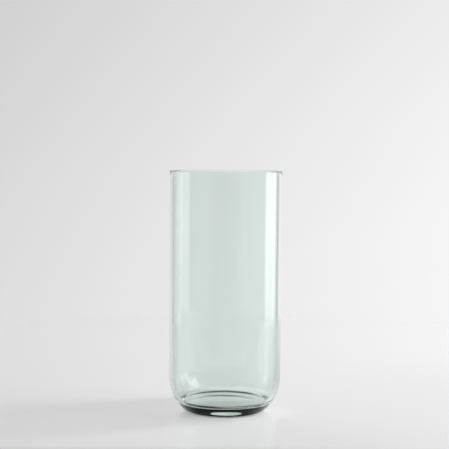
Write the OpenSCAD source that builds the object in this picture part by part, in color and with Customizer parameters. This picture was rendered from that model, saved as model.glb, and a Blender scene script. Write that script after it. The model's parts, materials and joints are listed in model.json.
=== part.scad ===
// Cylinder vase, blown in one piece from clear glass with a faint green tint.
// A straight wall with a level, polished rim stands on a wide round heel and a heavy base.
// Millimetres, +Z up the axis of the vase, origin at the middle of the foot on the table.

/* [Body] */
// Outside diameter of the straight wall
body_d = 117.5; // [100:0.5:160]
// Height from the table to the top of the rim
body_h = 250; // [120:1:400]
// Glass thickness of the straight wall and of the heel
wall_t = 4.2; // [2.5:0.1:6]
// Radius of the two polished edges of the rim
rim_edge_r = 0.5; // [0.2:0.05:1]

/* [Heel] */
// Outside radius of the round heel between the wall and the foot
heel_r = 45.7; // [38:0.1:50]
// Height at which the heel runs into the straight wall
heel_h = 34; // [26:0.5:37]

/* [Base] */
// Height of the middle of the floor inside, above the table
floor_h = 8.4; // [6:0.1:12]
// Radius of curvature of the dished floor inside
floor_r = 625; // [300:5:1600]
// Radius of the inside corner between the floor and the heel
corner_r = 7.8; // [3:0.1:16]

/* [Underside] */
// Diameter of the shallow hollow under the foot
hollow_d = 64; // [40:0.5:68]
// Depth of the shallow hollow under the foot
hollow_h = 0.25; // [0.15:0.05:1.5]

/* [Colour] */
// Tint of the glass
glass_tint = "#CFE3D9"; // [#CFE3D9:Sea green, #DCE6E4:Near clear, #BFD3DC:Ice blue]
// Share of the glass that shows in the preview
glass_alpha = 0.45; // [0.2:0.05:1]

/* [Hidden] */
$fn = 192;

outer_r = body_d / 2;
inner_r = outer_r - wall_t;
rim_z = body_h - rim_edge_r;

// The heel arc outside, and the arc inside it that keeps the wall's thickness.
heel_x = outer_r - heel_r;
heel_in_r = heel_r - wall_t;

// The inside corner is an arc that touches the dished floor and the inside heel arc.
floor_c = [0, floor_h + floor_r];
corner_c = meet(floor_c, floor_r - corner_r, [heel_x, heel_h], heel_in_r - corner_r);
corner_low = touch(floor_c, floor_r, corner_c);
corner_high = touch([heel_x, heel_h], heel_in_r, corner_c);

// The hollow under the foot is an arc of this radius, to the nearest millimetre, centred far below the table.
hollow_arc_r = round((pow(hollow_d / 2, 2) + pow(hollow_h, 2)) / (2 * hollow_h));

// How far a cut runs past the face that it opens, and a joining piece into its neighbour.
past = 1;

// How far the corner arc laps over the arcs beside it, so that no step is left between them.
lap = 0.002;

// Point where a circle about a is touched from inside by a circle about b.
function touch(a, r, b) = a + r * (b - a) / norm(b - a);

// Right hand crossing of a circle about a with a circle about b.
function meet(a, ra, b, rb) =
    let (
        d = norm(b - a),
        u = (b - a) / d,
        along = (ra * ra - rb * rb + d * d) / (2 * d),
        across = sqrt(ra * ra - along * along),
        side = [-u[1], u[0]],
        one = a + along * u + across * side,
        two = a + along * u - across * side
    )
    one[0] > two[0] ? one : two;

// Slice of the half section from z0 to z1, as wide as w.
module band(w, z0, z1) {
    translate([0, z0])
        square([w, z1 - z0]);
}

// Half section of the outside, from the foot to the base of the rim.
module outside() {
    intersection() {
        translate([heel_x, heel_h])
            circle(heel_r);
        band(outer_r, 0, heel_h + past);
    }
    band(outer_r, heel_h, rim_z);
}

// Half section of the hollow for the flowers, from the dished floor up past the rim.
module inside() {
    intersection() {
        translate(floor_c)
            circle(floor_r);
        band(corner_low[0], floor_h - past, heel_h + past);
    }
    translate(corner_c)
        circle(corner_r + lap);
    intersection() {
        translate([heel_x, heel_h])
            circle(heel_in_r);
        band(inner_r, corner_high[1], heel_h + past);
    }
    band(inner_r, heel_h, body_h + past);
}

// Shallow hollow under the foot, which leaves a level ring to stand on.
module foot_hollow() {
    translate([0, hollow_h - hollow_arc_r])
        circle(hollow_arc_r);
}

// Level top of the wall, cut and then polished round at both edges.
module rim() {
    translate([inner_r + rim_edge_r, rim_z])
        circle(rim_edge_r);
    translate([outer_r - rim_edge_r, rim_z])
        circle(rim_edge_r);
    translate([inner_r + rim_edge_r, rim_z - past])
        square([wall_t - 2 * rim_edge_r, rim_edge_r + past]);
}

// The whole vase is this one piece of glass.
module vessel() {
    color(glass_tint, glass_alpha)
        rotate_extrude() {
            difference() {
                outside();
                inside();
                foot_hollow();
            }
            rim();
        }
}

vessel();
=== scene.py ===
import json
import math

import bpy
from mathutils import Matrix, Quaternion, Vector


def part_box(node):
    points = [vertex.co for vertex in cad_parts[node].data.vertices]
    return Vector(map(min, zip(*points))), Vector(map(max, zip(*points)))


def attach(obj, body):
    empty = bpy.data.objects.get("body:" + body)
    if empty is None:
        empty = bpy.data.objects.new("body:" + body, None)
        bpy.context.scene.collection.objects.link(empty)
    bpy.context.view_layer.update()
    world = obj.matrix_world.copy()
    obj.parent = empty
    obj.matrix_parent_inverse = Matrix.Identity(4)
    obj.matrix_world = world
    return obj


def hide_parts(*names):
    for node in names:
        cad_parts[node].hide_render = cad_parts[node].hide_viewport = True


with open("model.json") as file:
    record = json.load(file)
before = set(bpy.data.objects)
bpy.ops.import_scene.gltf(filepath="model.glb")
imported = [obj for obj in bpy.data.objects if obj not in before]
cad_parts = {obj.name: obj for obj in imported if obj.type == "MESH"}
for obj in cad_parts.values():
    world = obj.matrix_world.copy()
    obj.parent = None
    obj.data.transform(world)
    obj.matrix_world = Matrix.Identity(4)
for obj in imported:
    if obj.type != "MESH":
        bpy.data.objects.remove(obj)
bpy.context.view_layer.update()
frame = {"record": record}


# The vase: one gather of clear soda glass with a faint green tint, blown and turned in a mould.
# The wall is even, the heel round, and the heavy base has a slightly dished floor inside. Underneath,
# the foot has a shallow hollow, so that it stands steady. The rim was cut level and its edges polished.
_, rim_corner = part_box("vessel")
mouth = next(mount for mount in frame["record"]["mounts"] if mount["name"] == "mouth")
outer_r = round(rim_corner.x, 5)
height = round(rim_corner.z, 4)
inner_r = mouth["dims"]["r_mm"] / 1000
wall_t = outer_r - inner_r
heel_r = 0.0457
heel_h = 0.034
foot_edge_r = 0.0011
floor_h = 0.0084
floor_r = 0.625
corner_r = 0.0078
hollow_r = 0.032
hollow_h = 0.00025
rim_edge_r = 0.0005


def meet(a, a_r, b, b_r):
    """Right hand crossing of a circle about a with a circle about b."""
    apart = (b - a).length
    way = (b - a) / apart
    along = (a_r ** 2 - b_r ** 2 + apart ** 2) / (2 * apart)
    across = math.sqrt(a_r ** 2 - along ** 2)
    side = Vector((-way.y, way.x)) * across
    return max(a + way * along + side, a + way * along - side, key=lambda point: point.x)


def bearing(centre, point):
    """Direction from a centre to a point of the half section, in radians."""
    return math.atan2(point.y - centre.y, point.x - centre.x)


def arc(centre, radius, start, end, steps):
    """Points along a round stretch of the half section, both ends included."""
    turns = [start + (end - start) * step / steps for step in range(steps + 1)]
    return [centre + radius * Vector((math.cos(turn), math.sin(turn))) for turn in turns]


def straight(start, end, steps):
    """Points along a straight stretch of the half section, both ends included."""
    return [start.lerp(end, step / steps) for step in range(steps + 1)]


upright = math.pi / 2
heel_c = Vector((outer_r - heel_r, heel_h))
heel_in_r = heel_r - wall_t
hollow_arc_r = (hollow_r ** 2 + hollow_h ** 2) / (2 * hollow_h)
hollow_c = Vector((0, hollow_h - hollow_arc_r))
hollow_end = upright - math.asin(hollow_r / hollow_arc_r)
edge_drop = heel_h - foot_edge_r
edge_out = math.sqrt((heel_r - foot_edge_r) ** 2 - edge_drop ** 2)
edge_c = Vector((heel_c.x + edge_out, foot_edge_r))
floor_c = Vector((0, floor_h + floor_r))
corner_c = meet(floor_c, floor_r - corner_r, heel_c, heel_in_r - corner_r)
rim_z = height - rim_edge_r
rim_out_c = Vector((outer_r - rim_edge_r, rim_z))
rim_in_c = Vector((inner_r + rim_edge_r, rim_z))
foot_to_heel = bearing(heel_c, edge_c)
heel_to_corner = bearing(heel_c, corner_c)
corner_to_floor = bearing(floor_c, corner_c)

half_section = (
    arc(hollow_c, hollow_arc_r, upright, hollow_end, steps=20)
    + straight(Vector((hollow_r, 0)), Vector((edge_c.x, 0)), steps=10)
    + arc(edge_c, foot_edge_r, -upright, foot_to_heel, steps=10)
    + arc(heel_c, heel_r, foot_to_heel, 0, steps=56)
    + straight(Vector((outer_r, heel_h)), Vector((outer_r, rim_z)), steps=40)
    + arc(rim_out_c, rim_edge_r, 0, upright, steps=8)
    + straight(Vector((rim_out_c.x, height)), Vector((rim_in_c.x, height)), steps=4)
    + arc(rim_in_c, rim_edge_r, upright, math.pi, steps=8)
    + straight(Vector((inner_r, rim_z)), Vector((inner_r, heel_h)), steps=40)
    + arc(heel_c, heel_in_r, 0, heel_to_corner, steps=24)
    + arc(corner_c, corner_r, heel_to_corner, corner_to_floor, steps=36)
    + arc(floor_c, floor_r, corner_to_floor, -upright, steps=20)
)

# The half section is drawn point by point and spun about the axis. Stretches share their end points.
same_point = 1e-7
merge_gap = 1e-6
spin_steps = 256
smooth_angle = math.radians(35)
bpy.ops.object.select_all(action="DESELECT")
bpy.ops.mesh.primitive_plane_add(size=wall_t, location=(0, 0, hollow_h))
vase = bpy.context.object
vase.name = "vase_glass"
bpy.ops.object.transform_apply(location=True)
bpy.ops.object.mode_set(mode="EDIT")
bpy.ops.mesh.merge(type="CENTER")
for here, there in zip(half_section, half_section[1:]):
    if (there - here).length > same_point:
        step = (there.x - here.x, 0, there.y - here.y)
        bpy.ops.mesh.extrude_region_move(TRANSFORM_OT_translate={"value": step})
bpy.ops.mesh.select_all(action="SELECT")
bpy.ops.mesh.spin(steps=spin_steps, angle=math.tau, center=(0, 0, 0), axis=(0, 0, 1))
bpy.ops.mesh.select_all(action="SELECT")
bpy.ops.mesh.remove_doubles(threshold=merge_gap)
bpy.ops.mesh.normals_make_consistent(inside=False)
bpy.ops.object.mode_set(mode="OBJECT")
bpy.ops.object.shade_smooth_by_angle(angle=smooth_angle)

glass = bpy.data.materials.new("green_tinted_glass")
glass.use_nodes = True
nodes, links = glass.node_tree.nodes, glass.node_tree.links


def calc(operation, *values):
    """A maths node in the material being made, whose inputs are numbers or other nodes' outputs."""
    node = nodes.new("ShaderNodeMath")
    node.operation = operation
    for socket, value in zip(node.inputs, values):
        if isinstance(value, (int, float)):
            socket.default_value = value
        else:
            links.new(value, socket)
    return node.outputs[0]


def ramp(value, stops):
    """Brightness that follows a value through rising stops of (value from 0 to 1, brightness)."""
    node = nodes.new("ShaderNodeValToRGB")
    points = node.color_ramp.elements
    while len(points) < len(stops):
        points.new(0.5)
    for point, (place, bright) in zip(points, stops):
        point.position = place
        point.color = (bright, bright, bright, 1)
    links.new(value, node.inputs["Fac"])
    return node.outputs["Color"]


melt = nodes["Principled BSDF"]
melt.inputs["Roughness"].default_value = 0.0
melt.inputs["IOR"].default_value = 1.5
melt.inputs["Transmission Weight"].default_value = 1.0
depth = nodes.new("ShaderNodeVolumeAbsorption")
depth.inputs["Color"].default_value = (0.475, 0.675, 0.5, 1)
depth.inputs["Density"].default_value = 4.0
links.new(depth.outputs["Volume"], nodes["Material Output"].inputs["Volume"])

# The tint drifts a little from place to place, in long upright clouds.
place = nodes.new("ShaderNodeTexCoord")
stretch = nodes.new("ShaderNodeMapping")
stretch.inputs["Scale"].default_value = (40, 40, 7)
drift = nodes.new("ShaderNodeTexNoise")
drift.inputs["Scale"].default_value = 1.0
drift.inputs["Detail"].default_value = 3.0
drift.inputs["Distortion"].default_value = 0.6
tint = nodes.new("ShaderNodeValToRGB")
green_end, pale_end = tint.color_ramp.elements
green_end.position = 0.3
green_end.color = (0.929, 0.981, 0.968, 1)
pale_end.position = 0.7
pale_end.color = (0.946, 0.987, 0.978, 1)
links.new(place.outputs["Object"], stretch.inputs["Vector"])
links.new(stretch.outputs["Vector"], drift.inputs["Vector"])
links.new(drift.outputs["Fac"], tint.inputs["Fac"])

# Low on the wall and round the heel, where the glass is seen edge on, its colour is darkened towards a
# deeper green: a painted shade along the glass's edges.
painted_edge_shade = (0.48, 0.575, 0.54, 1)
tint_foot_z = 0.009
tint_full_z = 0.021
tint_end_z = 0.1
edge_on = nodes.new("ShaderNodeLayerWeight")
edge_on.inputs["Blend"].default_value = 0.5
grazing = nodes.new("ShaderNodeMapRange")
grazing.inputs["From Min"].default_value = 0.5
grazing.inputs["From Max"].default_value = 0.85
grazing.inputs["To Min"].default_value = 0.05
links.new(edge_on.outputs["Facing"], grazing.inputs["Value"])
level = nodes.new("ShaderNodeSeparateXYZ")
links.new(place.outputs["Object"], level.inputs["Vector"])
low_wall = ramp(level.outputs["Z"], [(tint_foot_z, 0.0), (tint_full_z, 1.0), (tint_end_z, 0.0)])
painted_edge_darkening = nodes.new("ShaderNodeMix")
painted_edge_darkening.data_type = "RGBA"
share, plain, deep = painted_edge_darkening.inputs[0], painted_edge_darkening.inputs[6], painted_edge_darkening.inputs[7]
deep.default_value = painted_edge_shade
links.new(calc("MULTIPLY", grazing.outputs["Result"], low_wall), share)
links.new(tint.outputs["Color"], plain)
links.new(painted_edge_darkening.outputs[2], melt.inputs["Base Color"])
vase.data.materials.append(glass)

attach(vase, "root")
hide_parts("vessel")


# The table: a pale, softly shining board that lies a hair below the foot and glows evenly. Painted
# light makes the glow grow a little to the right and to the front, painted shade darkens it round the
# foot, and a small painted gleam lights it at the heel's right. The board's far edge fades out into the
# backdrop, so that no line shows between them.
table_r = 0.75
table_sides = 96
air_gap = 0.0002
fade_start = 0.56
fade_end = 0.72
bpy.ops.object.select_all(action="DESELECT")
bpy.ops.mesh.primitive_circle_add(
    vertices=table_sides, radius=table_r, fill_type="NGON", location=(0, 0, -air_gap)
)
table = bpy.context.object
table.name = "table"
pale = bpy.data.materials.new("pale_board")
pale.use_nodes = True
nodes, links = pale.node_tree.nodes, pale.node_tree.links
board = nodes["Principled BSDF"]
board.inputs["Base Color"].default_value = (0.5, 0.5, 0.5, 1)
board.inputs["Roughness"].default_value = 0.18
board.inputs["Specular IOR Level"].default_value = 0.5
board.inputs["Emission Color"].default_value = (1, 1, 1, 1)
place = nodes.new("ShaderNodeTexCoord")
spot = nodes.new("ShaderNodeSeparateXYZ")
links.new(place.outputs["Object"], spot.inputs["Vector"])
spot_x = spot.outputs["X"]
spot_y = spot.outputs["Y"]


def distance(x, y):
    """Length of a flat step, from its two parts."""
    return calc("SQRT", calc("ADD", calc("POWER", x, 2), calc("POWER", y, 2)))


def blend(share, one, other):
    """One value where the share is 1, the other where it is 0."""
    rest = calc("SUBTRACT", 1, share)
    return calc("ADD", calc("MULTIPLY", one, share), calc("MULTIPLY", other, rest))


# The even glow, with painted light: its rise to the right follows the picture and runs out with depth.
far_glow = 0.405
side_rise = 0.23
side_rise_end = 1
near_rise = 0.09
near_rise_start = 0.6
camera_away = 1.155
across = calc("DIVIDE", spot_x, calc("ADD", spot_y, camera_away))
across = calc("MULTIPLY", across, calc("SUBTRACT", side_rise_end, spot_y))
nearness = calc("MAXIMUM", calc("SUBTRACT", near_rise_start, spot_y), 0)
painted_tone = calc("ADD", calc("MULTIPLY", across, side_rise), far_glow)
painted_tone = calc("ADD", painted_tone, calc("MULTIPLY", nearness, near_rise))

# Outside the picture the glow is dimmed, in front of it and beside it, as painted shade.
front_edge = 0.5
view_spread = 0.203
from_front = calc("ADD", spot_y, front_edge)
near_dim = ramp(from_front, [(0.0, 0.2), (0.29, 0.25), (0.345, 1.0)])
aside = calc("SUBTRACT", calc("ABSOLUTE", spot_x), calc("MULTIPLY", spot_y, view_spread))
side_dim = ramp(aside, [(0.26, 1.0), (0.38, 0.6)])

# Painted shade round the foot, by shares of its reach. It is deep in front, where the heel hangs over
# the board, and deeper when looked down on. Behind, only a faint ring is left, and the board is painted
# brighter when looked down on.
shade_r = 0.12
least_reach = 0.001
reach = distance(spot_x, spot_y)
under = calc("DIVIDE", reach, shade_r)
low_shade = ramp(under, [
    (0.0, 1.0), (0.27, 1.0), (0.31, 0.1), (0.37, 0.15), (0.4, 0.6), (0.45, 0.88), (0.56, 1.0),
])
steep_shade = ramp(under, [
    (0.0, 1.0), (0.27, 0.9), (0.31, 0.05), (0.46, 0.08), (0.56, 0.5), (0.8, 1.0),
])
back_shade = ramp(under, [(0.0, 1.0), (0.3, 1.0), (0.35, 0.85), (0.4, 0.95), (0.5, 1.0)])
view = nodes.new("ShaderNodeLayerWeight")
view.inputs["Blend"].default_value = 0.5
low_view = ramp(view.outputs["Facing"], [(0.4, 0.0), (0.7, 1.0)])
front_shade = blend(low_view, low_shade, steep_shade)
steep_lift = ramp(view.outputs["Facing"], [(0.25, 1.47), (0.58, 1.33), (0.8, 1.0)])
back_shade = calc("MULTIPLY", back_shade, steep_lift)
ahead = calc("DIVIDE", spot_y, calc("MAXIMUM", reach, least_reach))
front_to_back = calc("ADD", calc("MULTIPLY", ahead, 0.5), 0.5)
front = ramp(front_to_back, [(0.0, 1.0), (0.1, 0.95), (0.22, 0.5), (0.36, 0.0)])
painted_shade = blend(front, front_shade, back_shade)
# The board's painted light: its glow, with the painted shade round the foot and the dimming outside the
# picture.
painted_glow = calc("MULTIPLY", calc("MULTIPLY", painted_tone, painted_shade), calc("MULTIPLY", near_dim, side_dim))

# A painted gleam: the light that the glass throws on the board, painted into the board's glow.
gleam_x = 0.045
gleam_y = -0.022
gleam_r = 0.035
beside = distance(calc("SUBTRACT", spot_x, gleam_x), calc("SUBTRACT", spot_y, gleam_y))
painted_gleam = ramp(calc("DIVIDE", beside, gleam_r), [(0.0, 0.07), (0.4, 0.05), (1.0, 0.0)])
links.new(calc("ADD", painted_glow, painted_gleam), board.inputs["Emission Strength"])

# The far edge goes out grain by grain.
fade = nodes.new("ShaderNodeMapRange")
fade.interpolation_type = "SMOOTHSTEP"
fade.inputs["From Min"].default_value = fade_start
fade.inputs["From Max"].default_value = fade_end
grain = nodes.new("ShaderNodeTexWhiteNoise")
clear = nodes.new("ShaderNodeBsdfTransparent")
edge = nodes.new("ShaderNodeMixShader")
links.new(place.outputs["Object"], grain.inputs["Vector"])
links.new(reach, fade.inputs["Value"])
gone = calc("LESS_THAN", grain.outputs["Value"], fade.outputs["Result"])
links.new(gone, edge.inputs["Fac"])
links.new(board.outputs["BSDF"], edge.inputs[1])
links.new(clear.outputs["BSDF"], edge.inputs[2])
links.new(edge.outputs["Shader"], nodes["Material Output"].inputs["Surface"])
table.data.materials.append(pale)


# The key light: a soft round panel at the right, a little behind and well above the vase, which lays
# the vase's shadow to the left. It lights the table alone.
key_azimuth = math.radians(109)
key_rise = math.radians(32)
key_away = 1.3
key_data = bpy.data.lights.new("key", "AREA")
key_data.shape = "DISK"
key_data.size = 0.3
key_data.energy = 9
key = bpy.data.objects.new("key", key_data)
bpy.context.scene.collection.objects.link(key)
key.location = key_away * Vector((
    math.sin(key_azimuth) * math.cos(key_rise),
    -math.cos(key_azimuth) * math.cos(key_rise),
    math.sin(key_rise),
))
key.rotation_euler = (-key.location).to_track_quat("-Z", "Y").to_euler()
key.visible_camera = False
key.visible_glossy = False
key.visible_transmission = False


# The room: a pale backdrop all round, paler behind the vase and dark behind the camera. A low, wide
# panel and a higher one stand at the right and a narrow one at the left, and a soft light hangs
# overhead. Azimuths run from the camera's side, 0, to the right, 90, and the back, 180.
full_turn = 360
half_turn = 180
fade_tilt = 12
edge_tilt = 16
panel_strength = 1.75
room = bpy.data.worlds.new("studio")
bpy.context.scene.world = room
room.use_nodes = True
nodes, links = room.node_tree.nodes, room.node_tree.links
look = nodes.new("ShaderNodeTexCoord")
axes = nodes.new("ShaderNodeSeparateXYZ")
links.new(look.outputs["Generated"], axes.inputs["Vector"])
look_x = axes.outputs["X"]
azimuth = calc("ARCTAN2", look_x, calc("MULTIPLY", axes.outputs["Y"], -1))
round_room = calc("ADD", calc("DIVIDE", azimuth, math.tau), 0.5)
elevation = calc("ARCSINE", axes.outputs["Z"])
rise = calc("ADD", calc("DIVIDE", elevation, math.pi), 0.5)
fade_rise = calc("SUBTRACT", rise, calc("MULTIPLY", look_x, fade_tilt / half_turn))
edge_rise = calc("ADD", rise, calc("MULTIPLY", look_x, edge_tilt / half_turn))


def at(degrees):
    """Place of an azimuth on the ring of stops."""
    return degrees / full_turn + 0.5


def up(degrees):
    """Place of an elevation on the column of stops."""
    return degrees / half_turn + 0.5


# The backdrop round the room: the back at the left, the left side, behind the camera, the right side
# and the back at the right. Its edge is aslant, and so is the way that it dims upwards.
wall_ring = ramp(round_room, [
    (at(-180), 0.826), (at(-168), 0.73), (at(-165), 0.74), (at(-161), 0.77), (at(-146), 0.79),
    (at(-141), 0.5), (at(-133), 0.5), (at(-128), 0.58), (at(-60), 0.5), (at(-45), 0.45),
    (at(-20), 0.15), (at(0), 0.12), (at(20), 0.14),
    (at(45), 0.36), (at(60), 0.42), (at(85), 0.45), (at(126), 0.45), (at(131), 0.35), (at(140), 0.35),
    (at(145), 0.9), (at(168), 0.92), (at(180), 0.826),
])
wall_fade = ramp(fade_rise, [
    (up(-90), 1.0), (up(-6), 1.0), (up(0), 0.963), (up(7.5), 0.89), (up(13.5), 0.84),
])
wall_edge = ramp(edge_rise, [
    (up(13.5), 1.0), (up(16), 0.01), (up(58), 0.007), (up(70), 0.48), (up(90), 0.48),
])
wall = calc("MULTIPLY", wall_ring, calc("MULTIPLY", wall_fade, wall_edge))

# The low panels, the narrow one at the left first, and the high panel.
low_ring = ramp(round_room, [
    (at(-119), 0), (at(-116), 0.75), (at(-106), 0.75), (at(-102), 0),
    (at(90), 0), (at(93), 1.12), (at(107), 1.12), (at(113), 1), (at(125), 1), (at(128), 0),
])
low_rise = ramp(rise, [
    (up(-14), 0), (up(-12), 0.5), (up(-9), 0.62), (up(-7), 0.75), (up(-4), 0.95),
    (up(0), 1), (up(4), 1), (up(10), 0.8), (up(15), 0),
])
high_ring = ramp(round_room, [(at(70), 0), (at(74), 1), (at(99), 1), (at(104), 0)])
high_rise = ramp(rise, [
    (up(4), 0), (up(10), 0.5), (up(14), 1.1), (up(19), 1.7), (up(45), 1.7), (up(50), 0),
])
low_panels = calc("MULTIPLY", calc("MULTIPLY", low_ring, low_rise), panel_strength)
high_panel = calc("MULTIPLY", calc("MULTIPLY", high_ring, high_rise), panel_strength)
panels = calc("ADD", low_panels, high_panel)
links.new(calc("ADD", wall, panels), nodes["Background"].inputs["Color"])


# The camera: a long lens a little above the rim, over a metre away, looking slightly down. Its lens
# and place were fitted to the vase's outline, and it leans a trace to one side.
image_w = 449
focal_px = 1105
camera_x = -0.00128
camera_z = 0.273
pitch = math.radians(3.92)
roll = math.radians(0.441)
camera_data = bpy.data.cameras.new("camera")
camera = bpy.data.objects.new("camera", camera_data)
bpy.context.scene.collection.objects.link(camera)
bpy.context.scene.camera = camera
camera_data.sensor_width = 36
camera_data.lens = camera_data.sensor_width * focal_px / image_w
camera.location = (camera_x, -camera_away, camera_z)
forward = Vector((0, math.cos(pitch), -math.sin(pitch)))
camera.rotation_mode = "QUATERNION"
camera.rotation_quaternion = Quaternion(forward, -roll) @ forward.to_track_quat("-Z", "Y")


# The picture: plain colours, and enough bounces for light to find its way through the thick base.
scene = bpy.context.scene
scene.view_settings.view_transform = "Standard"
scene.cycles.use_denoising = True
scene.cycles.max_bounces = 32
scene.cycles.transmission_bounces = 32
scene.cycles.glossy_bounces = 32
scene.cycles.transparent_max_bounces = 16
scene.cycles.blur_glossy = 0.2
scene.cycles.sample_clamp_indirect = 20
